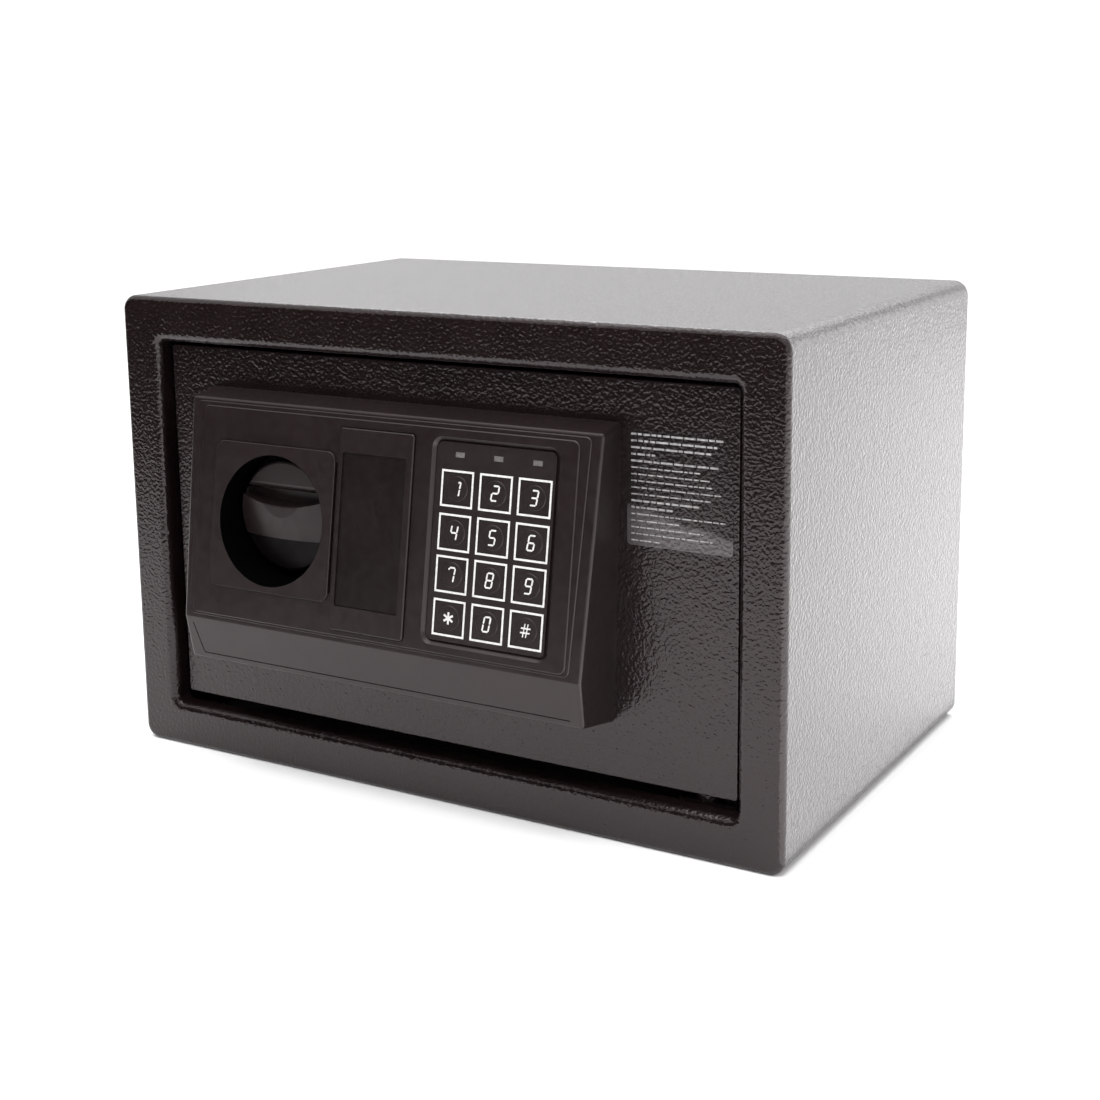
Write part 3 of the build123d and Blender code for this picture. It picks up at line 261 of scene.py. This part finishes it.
def keypad_film():
    """Finely textured polycarbonate film."""
    finish = Finish("keypad_film", 0.4, specular=0.4, tint=WARM)
    finish.colours(finish.noise(120, detail=3), (0.011, 0.007, 0.007), (0.014, 0.009, 0.009))
    finish.shine(finish.noise(500, detail=2), 0.36, 0.46)
    finish.bump(finish.noise(3200, detail=1.5), 0.02 * MM, 0.7)
    return finish.material


def clear_label():
    """Thin film over the paint, which shows through it; a paler, more specular patch towards its lower left is a
    painted reflection.
    """
    finish = Finish("label_film", 0.2, specular=0.5, tint=WARM)
    low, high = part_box("instruction_label")
    across = finish.ramp(finish.axis("X"), low.x, high.x)
    upward = finish.ramp(finish.axis("Z"), low.z, high.z)
    edge = finish.add(finish.add(upward, across, 0.22), finish.noise(90, detail=2), 0.1)
    # painted reflection: towards the lower left the film gets the pale colour below, more specular level and a
    # little more roughness
    painted_sheen = finish.ramp(edge, 0.42, 0.36)
    speckle = finish.add(painted_sheen, finish.noise(800, detail=2), 0.15)
    finish.colours(speckle, (0.008, 0.0055, 0.0055), (0.042, 0.037, 0.038), 0.12, 1.1)
    finish.link(finish.ramp(painted_sheen, 0, 1, 0.5, 0.9), finish.shader, "Specular IOR Level")
    finish.shine(painted_sheen, 0.2, 0.26, 0, 1)
    finish.bump(hammered_height(finish), PAINT_GRAIN_DEPTH, 0.8)
    return finish.material


def led_lens():
    """Smoked lens."""
    finish = Finish("led_lens", 0.3)
    finish.colours(finish.noise(900), (0.085, 0.078, 0.078), (0.12, 0.112, 0.112))
    finish.bump(finish.noise(2500), 0.02 * MM)
    return finish.material


def white_ink(name, dark, light):
    """Slightly uneven screen-printed ink."""
    finish = Finish(name, 0.5, specular=0.3)
    finish.colours(finish.noise(700, detail=3), dark, light)
    finish.bump(finish.noise(3000), 0.01 * MM)
    return finish.material


def circuit_board():
    """Green solder mask with faint copper runs under it."""
    finish = Finish("circuit_board", 0.35)
    runs = finish.noise(260, detail=0.5, stretch=(1, 1, 6))
    finish.colours(runs, (0.006, 0.06, 0.02), (0.015, 0.13, 0.05), 0.45, 0.55)
    finish.bump(finish.ramp(runs, 0.45, 0.55), 0.03 * MM)
    return finish.material


def wound_copper():
    """Enamelled wire, its turns stacked up along Z."""
    finish = Finish("coil_copper", 0.35, metallic=0.7)
    turns = finish.node("ShaderNodeTexWave", Scale=900, Distortion=0.4)
    turns.bands_direction = "Z"
    finish.link(finish.place, turns, "Vector")
    finish.colours(turns.outputs["Fac"], (0.22, 0.07, 0.02), (0.5, 0.2, 0.08), 0.2, 0.8)
    finish.bump(turns.outputs["Fac"], 0.08 * MM)
    return finish.material


def battery_wrap():
    """Plain dark cell sleeve with a lighter band at the top."""
    finish = Finish("battery_wrap", 0.3)
    low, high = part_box("batteries")
    band = finish.ramp(finish.axis("Z"), low.z, high.z)
    wavy = finish.add(band, finish.noise(300), 0.01)
    finish.colours(wavy, (0.02, 0.022, 0.03), (0.35, 0.33, 0.3), 0.79, 0.8)
    finish.bump(finish.noise(1500), 0.02 * MM)
    return finish.material


def felt():
    """Dark needle felt."""
    finish = Finish("felt", 0.95, specular=0.1)
    fibres = finish.noise(1400, detail=5, roughness=0.7, stretch=(1, 1.6, 1))
    finish.colours(fibres, (0.02, 0.02, 0.022), (0.075, 0.075, 0.08))
    finish.bump(fibres, 0.5 * MM)
    return finish.material


def soft_plastic(name, dark, light):
    """Coloured plastic of the small parts."""
    finish = Finish(name, 0.35)
    finish.colours(finish.noise(300, detail=3), dark, light)
    finish.bump(finish.noise(1800), 0.02 * MM)
    return finish.material


SLOT_FINISHES = {
    "case_paint": hammered_paint("case_paint"),
    "door_paint": hammered_paint("door_paint"),
    "zinc_steel": plated_metal("zinc_steel", (0.42, 0.42, 0.4), (0.62, 0.61, 0.58), 0.35, (1, 1, 8)),
    "chrome_steel": plated_metal("chrome_steel", (0.6, 0.6, 0.61), (0.78, 0.78, 0.79), 0.16, (8, 1, 1)),
    "brass_parts": plated_metal("brass_parts", (0.5, 0.34, 0.12), (0.68, 0.5, 0.22), 0.28, (1, 8, 1)),
    "housing_plastic": moulded_plastic("housing_plastic", SATIN_DARK, SATIN_LIGHT, 0.34, 0.45),
    "bezel_plastic": moulded_plastic("bezel_plastic", SATIN_DARK, SATIN_LIGHT, 0.36, 0.42),
    # the knob's material paints the grip bar's shadow on the disc below it
    "knob_plastic": knob_plastic((0.010, 0.0065, 0.0065), 0.36, 0.33),
    "keypad_film": keypad_film(),
    "led_lens": led_lens(),
    "label_film": clear_label(),
    "circuit_board": circuit_board(),
    "coil_copper": wound_copper(),
    "battery_wrap": battery_wrap(),
    "felt": felt(),
    "red_button": soft_plastic("red_button", (0.35, 0.015, 0.012), (0.5, 0.03, 0.02)),
    "wire_jacket": soft_plastic("wire_jacket", (0.03, 0.012, 0.012), (0.06, 0.02, 0.02)),
}

# Nodes whose finish differs from the rest of their slot; the knob bezel's differs by the painted shade in its well
NODE_FINISHES = {
    "knob_bezel": bezel_plastic(SATIN_LIGHT, 0.36, 0.42),
}


def paint_nodes():
    for part in frame["record"]["subparts"]:
        mesh = nodes[part["node"]].data
        mesh.materials.clear()
        mesh.materials.append(NODE_FINISHES.get(part["node"], SLOT_FINISHES[part["material_slot"]]))


# ---------------------------------------------------------------- thin printed pieces

def on_plane(origin, across, up):
    """Matrix that takes drawing coordinates (x, y, height) to the row frame."""
    out = across.cross(up)
    matrix = Matrix((across, up, out)).transposed().to_4x4()
    matrix.translation = origin
    return matrix


def thin_plate(name, outlines, placement, body, material, thickness=PRINT_T):
    """Closed thin solids drawn as flat outlines and set on a surface."""
    mesh = bmesh.new()
    corners = {}
    for outline in outlines:
        ring = []
        for x, y in outline:
            key = (round(x, 7), round(y, 7))
            if key not in corners:
                corners[key] = mesh.verts.new((x, y, 0))
            ring.append(corners[key])
        mesh.faces.new(ring)
    bmesh.ops.recalc_face_normals(mesh, faces=mesh.faces)
    grown = bmesh.ops.extrude_face_region(mesh, geom=mesh.faces[:])
    tops = [item for item in grown["geom"] if isinstance(item, bmesh.types.BMVert)]
    bmesh.ops.translate(mesh, verts=tops, vec=(0, 0, thickness))
    bmesh.ops.recalc_face_normals(mesh, faces=mesh.faces)
    data = bpy.data.meshes.new(name)
    mesh.to_mesh(data)
    mesh.free()
    data.transform(placement)
    data.materials.append(material)
    piece = bpy.data.objects.new(name, data)
    bpy.context.scene.collection.objects.link(piece)
    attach(piece, body)
    return piece


def ring_outlines(width, height, border):
    """Four mitred strips around a rectangle, from its inner size outward."""
    def corners(grow):
        x, y = width / 2 + grow, height / 2 + grow
        return [(-x, -y), (x, -y), (x, y), (-x, y)]
    inner, outer = corners(0), corners(border)
    return [[inner[n], outer[n], outer[(n + 1) % 4], inner[(n + 1) % 4]] for n in range(4)]


def rounded_rectangle(width, height, radius, steps=6):
    """Outline with quarter-circle corners."""
    outline = []
    for quarter in range(4):
        centre_x = (width / 2 - radius) * (1 if quarter in (0, 3) else -1)
        centre_y = (height / 2 - radius) * (1 if quarter in (0, 1) else -1)
        for step in range(steps + 1):
            angle = math.radians(90) * (quarter + step / steps)
            outline.append((centre_x + radius * math.cos(angle), centre_y + radius * math.sin(angle)))
    return outline


# ---------------------------------------------------------------- key legends

# Seven-segment digits, drawn in half widths and half heights
DIGIT_W = 2.7 * MM
DIGIT_H = 5.6 * MM
STROKE_R = 0.33 * MM
STROKE_GAP = 0.12 * MM
SLANT = math.tan(math.radians(9))
SEGMENTS = {
    "top": ((-1, 1), (1, 1)),
    "high_left": ((-1, 1), (-1, 0)),
    "high_right": ((1, 1), (1, 0)),
    "middle": ((-1, 0), (1, 0)),
    "low_left": ((-1, 0), (-1, -1)),
    "low_right": ((1, 0), (1, -1)),
    "bottom": ((-1, -1), (1, -1)),
    "flag": ((0.1, 0.82), (1, 1)),
    "tick": ((-1, 1), (-1, 0.62)),
}
DIGITS = {
    "1": ("flag", "high_right", "low_right"),
    "2": ("top", "high_right", "middle", "low_left", "bottom"),
    "3": ("top", "high_right", "middle", "low_right", "bottom"),
    "4": ("high_left", "high_right", "middle", "low_right"),
    "5": ("top", "high_left", "middle", "low_right", "bottom"),
    "6": ("top", "high_left", "middle", "low_left", "low_right", "bottom"),
    "7": ("tick", "top", "high_right", "low_right"),
    "8": ("top", "high_left", "high_right", "middle", "low_left", "low_right", "bottom"),
    "9": ("top", "high_left", "high_right", "middle", "low_right", "bottom"),
    "0": ("top", "high_left", "high_right", "low_left", "low_right", "bottom"),
}

# White frame round each key
KEY_FRAME_GAP = 0.3 * MM
KEY_FRAME_BORDER = 0.8 * MM


def slanted(points):
    return [(x + y * SLANT, y) for x, y in points]


def stroke(start, end, radius=STROKE_R, steps=5):
    """A bar with round ends that stops a little short of the strokes it meets."""
    line = Vector(end) - Vector(start)
    along = math.atan2(line.y, line.x)
    trim = (radius + STROKE_GAP) * line.normalized()
    outline = []
    for centre, turn in ((Vector(end) - trim, -90), (Vector(start) + trim, 90)):
        for step in range(steps + 1):
            angle = along + math.radians(turn + 180 * step / steps)
            outline.append((centre.x + radius * math.cos(angle), centre.y + radius * math.sin(angle)))
    return slanted(outline)


def digit_outlines(digit):
    half_w, half_h = DIGIT_W / 2, DIGIT_H / 2
    return [
        stroke(*[(x * half_w, y * half_h) for x, y in SEGMENTS[name]])
        for name in DIGITS[digit]
    ]


def star_outlines(arms=6, reach=2.35 * MM, half=0.42 * MM):
    """One outline: each arm's end, then the notch before the next arm."""
    outline = []
    for arm in range(arms):
        angle = math.radians(90 + 360 * arm / arms)
        turn = Matrix.Rotation(angle, 2)
        for point in ((reach, -half), (reach, half)):
            outline.append(tuple(turn @ Vector(point)))
        notch = angle + math.pi / arms
        away = half / math.sin(math.pi / arms)
        outline.append((away * math.cos(notch), away * math.sin(notch)))
    return [outline]


def hash_outlines(reach=2.6 * MM, apart=0.85 * MM, half=0.28 * MM):
    """Two upright and two level bars as one sheet of cells."""
    steps = [-reach, -apart - half, -apart + half, apart - half, apart + half, reach]
    cells = []
    for column in range(5):
        for row in range(5):
            if column % 2 or row % 2:
                x0, x1, y0, y1 = steps[column] * 0.8, steps[column + 1] * 0.8, steps[row], steps[row + 1]
                cells.append(slanted([(x0, y0), (x1, y0), (x1, y1), (x0, y1)]))
    return cells


def face_extent(node):
    """A node's middle on the tilted face, its width and height there, and how far out it reaches."""
    points = [vertex.co for vertex in nodes[node].data.vertices]
    across = [point.x for point in points]
    up = [point.dot(FACE_UP) for point in points]
    out = max(point.dot(FACE_OUT) for point in points)
    middle_up = (min(up) + max(up)) / 2
    middle = Vector(((min(across) + max(across)) / 2, 0, 0)) + FACE_UP * middle_up
    return middle, max(across) - min(across), max(up) - min(up), out


def face_placement(middle, out):
    return on_plane(middle + FACE_OUT * (out + PRINT_LIFT), RIGHT, FACE_UP)


def key_names():
    return [name for name in nodes if name.startswith("key_") and f"{name}_press" in joints]


def print_legends(ink):
    overlay_out = face_extent("keypad_overlay")[3]
    for name in key_names():
        symbol = name.removeprefix("key_")
        outlines = {"star": star_outlines, "hash": hash_outlines}.get(symbol)
        drawn = outlines() if outlines else digit_outlines(symbol)
        middle, width, height, out = face_extent(name)
        thin_plate(f"legend_{symbol}", drawn, face_placement(middle, out), f"{name}_body", ink)
        border = ring_outlines(width + 2 * KEY_FRAME_GAP, height + 2 * KEY_FRAME_GAP, KEY_FRAME_BORDER)
        thin_plate(f"key_frame_{symbol}", border, face_placement(middle, overlay_out), "door", ink)


# ---------------------------------------------------------------- instruction film

# Line spacing from the film's top edge, line lengths as shares of its width, and the thicker lines;
# word lengths are in mm
LABEL_PITCH = 2.51 * MM
LABEL_FIRST = 2.05 * MM
LABEL_MARGIN = 1.8 * MM
LABEL_LINES = (
    0.94, 0.88, 0.82, 0.25, 0.91, 0.71, 0.81, 0.83, 0.92, 0.82, 0.70, 0.43, 0.97, 0.50, 0.75, 0.84, 0.30
)
BOLD_LINES = (0, 1, 2, 3, 4, 10, 11)
BOLD_DASH = 0.75 * MM
PLAIN_DASH = 0.5 * MM
WORD_GAP = 0.55 * MM
SHORTEST_WORD = 1.3
LONGEST_WORD = 5.2


def word_dashes(chance, start, end, y, height):
    """Dashes of uneven length along one line."""
    dashes = []
    x = start
    while x < end - WORD_GAP:
        stop = min(end, x + chance.uniform(SHORTEST_WORD, LONGEST_WORD) * MM)
        low, high = y - height / 2, y + height / 2
        dashes.append([(x, low), (stop, low), (stop, high), (x, high)])
        x = stop + WORD_GAP
    return dashes


def print_label(ink):
    chance = random.Random(4)
    low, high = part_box("instruction_label")
    width = high.x - low.x - 2 * LABEL_MARGIN
    dashes = []
    for number, share in enumerate(LABEL_LINES):
        y = -LABEL_FIRST - number * LABEL_PITCH
        height = BOLD_DASH if number in BOLD_LINES else PLAIN_DASH
        dashes += word_dashes(chance, LABEL_MARGIN, LABEL_MARGIN + share * width, y, height)
    front = Vector((low.x, low.y - PRINT_LIFT, high.z))
    thin_plate("label_dashes", dashes, on_plane(front, RIGHT, UP), "door", ink)


# ---------------------------------------------------------------- key cover inlay

# Edges of the recess in mm, its depth and the film's thickness and corner
INLAY_X = (-29.3, 0.7)
INLAY_Z = (83.9, 143.6)
INLAY_DEPTH = 0.7 * MM
INLAY_T = 0.12 * MM
INLAY_CORNER = 0.7 * MM


def key_cover_inlay():
    """Glossier film laid in the recess of the key cover."""
    cover_out = face_extent("key_cover")[3]
    face_point = FACE_OUT * (cover_out - INLAY_DEPTH + PRINT_LIFT)
    middle_x = sum(INLAY_X) / 2 * MM
    middle_z = sum(INLAY_Z) / 2 * MM
    up = (middle_z - face_point.z) / FACE_UP.z
    centre = face_point + FACE_UP * up + RIGHT * middle_x
    width = (INLAY_X[1] - INLAY_X[0]) * MM
    height = (INLAY_Z[1] - INLAY_Z[0]) * MM / FACE_UP.z
    film = moulded_plastic("inlay_film", (0.007, 0.0045, 0.0045), (0.009, 0.006, 0.006), 0.34, 0.3)
    outline = [rounded_rectangle(width, height, INLAY_CORNER)]
    piece = thin_plate("key_cover_inlay", outline, on_plane(centre, RIGHT, FACE_UP), "cover", film, INLAY_T)


# ---------------------------------------------------------------- studio

FLOOR_SIZE = 5.0
WORLD_STRENGTH = 1.05

# Dark card that the upper part of the front mirrors, beyond the white floor
FLAG_AT = (-0.75, -0.37, 0)
FLAG_WIDTH = 2.6
FLAG_HEIGHT = 0.42
FLAG_TURN = math.radians(-20)

# Name, centre, point aimed at, width, height, watts, whether gloss mirrors it, whether it lights
SOFT_BOXES = (
    ("overhead", (0, 0.1, 1.9), (0, 0.1, 0), 2.0, 2.0, 30, True, True),
    ("front_fill", (-0.1, -0.9, 1.5), (-0.1, -0.45, 0), 1.6, 1.0, 18, False, True),
    ("floor_glow", (0.858, 0.55, 0.002), (0.858, 0.55, 1), 1.4, 2.0, 14, True, False),
    ("corner_glow", (1.1, 1.65, 0.45), (0.15, 0, 0.2), 1.0, 0.9, 8, True, False),
    ("back_glow", (-0.35, 1.95, 1.5), (0, 0, 0.2), 3.0, 0.9, 26, True, False),
    ("side_wash", (1.5, 0.9, 0.7), (0.15, 0, 0.1), 1.4, 1.3, 9, True, True),
)


def stage_sheet(name, corners, finish, dark, light, mottle):
    """A flat sheet of the studio; mottle is the scale and detail of its faint noise."""
    data = bpy.data.meshes.new(name)
    data.from_pydata(corners, [], [(0, 1, 2, 3)])
    finish.colours(finish.noise(*mottle), dark, light)
    data.materials.append(finish.material)
    made = bpy.data.objects.new(name, data)
    bpy.context.scene.collection.objects.link(made)
    return made


def floor():
    half = FLOOR_SIZE / 2
    corners = [(-half, -half, 0), (half, -half, 0), (half, half, 0), (-half, half, 0)]
    finish = Finish("studio_floor", 0.9, specular=0.1)
    stage_sheet("studio_floor", corners, finish, (0.88, 0.88, 0.88), (0.9, 0.9, 0.9), (3, 3))


def front_flag():
    """Black card that only the gloss sees: the camera and the matt light pass it by."""
    x = FLAG_WIDTH / 2
    corners = [(-x, 0, 0), (x, 0, 0), (x, 0, FLAG_HEIGHT), (-x, 0, FLAG_HEIGHT)]
    finish = Finish("front_flag", 1.0, specular=0.0)
    made = stage_sheet("front_flag", corners, finish, (0.008, 0.008, 0.008), (0.012, 0.012, 0.012), (20, 2))
    made.location = FLAG_AT
    made.rotation_euler.z = FLAG_TURN
    made.visible_camera = False
    made.visible_diffuse = False
    made.visible_shadow = False


def soft_box(name, centre, target, width, height, power, mirrored, lighting):
    data = bpy.data.lights.new(name, "AREA")
    data.shape = "RECTANGLE"
    data.size = width
    data.size_y = height
    data.energy = power
    made = bpy.data.objects.new(name, data)
    made.location = centre
    made.rotation_euler = (Vector(target) - Vector(centre)).to_track_quat("-Z", "Y").to_euler()
    made.visible_camera = False
    made.visible_glossy = mirrored
    made.visible_diffuse = lighting
    bpy.context.scene.collection.objects.link(made)


def studio():
    world = bpy.data.worlds.new("studio")
    world.use_nodes = True
    background = world.node_tree.nodes["Background"]
    background.inputs["Color"].default_value = (1, 1, 1, 1)
    background.inputs["Strength"].default_value = WORLD_STRENGTH
    bpy.context.scene.world = world
    bpy.context.scene.view_settings.view_transform = "Standard"
    floor()
    front_flag()
    for box in SOFT_BOXES:
        soft_box(*box)


def camera():
    data = bpy.data.cameras.new("camera")
    data.lens = CAMERA_LENS
    data.sensor_width = CAMERA_SENSOR
    data.shift_y = CAMERA_SHIFT_Y
    made = bpy.data.objects.new("camera", data)
    azimuth, elevation = CAMERA_AZIMUTH, CAMERA_ELEVATION
    level_back = Vector((math.sin(azimuth), -math.cos(azimuth), 0))
    back = level_back * math.cos(elevation) + UP * math.sin(elevation)
    level = Vector((math.cos(azimuth), math.sin(azimuth), 0))
    upright = back.cross(level)
    right = math.cos(CAMERA_ROLL) * level + math.sin(CAMERA_ROLL) * upright
    up = back.cross(right)
    made.matrix_world = Matrix.Translation(CAMERA_AT) @ Matrix((right, up, back)).transposed().to_4x4()
    bpy.context.scene.collection.objects.link(made)
    bpy.context.scene.camera = made


paint_nodes()
print_legends(white_ink("white_ink", (0.5, 0.49, 0.48), (0.62, 0.61, 0.6)))
print_label(white_ink("label_ink", (0.14, 0.135, 0.135), (0.36, 0.35, 0.35)))
key_cover_inlay()
studio()
camera()
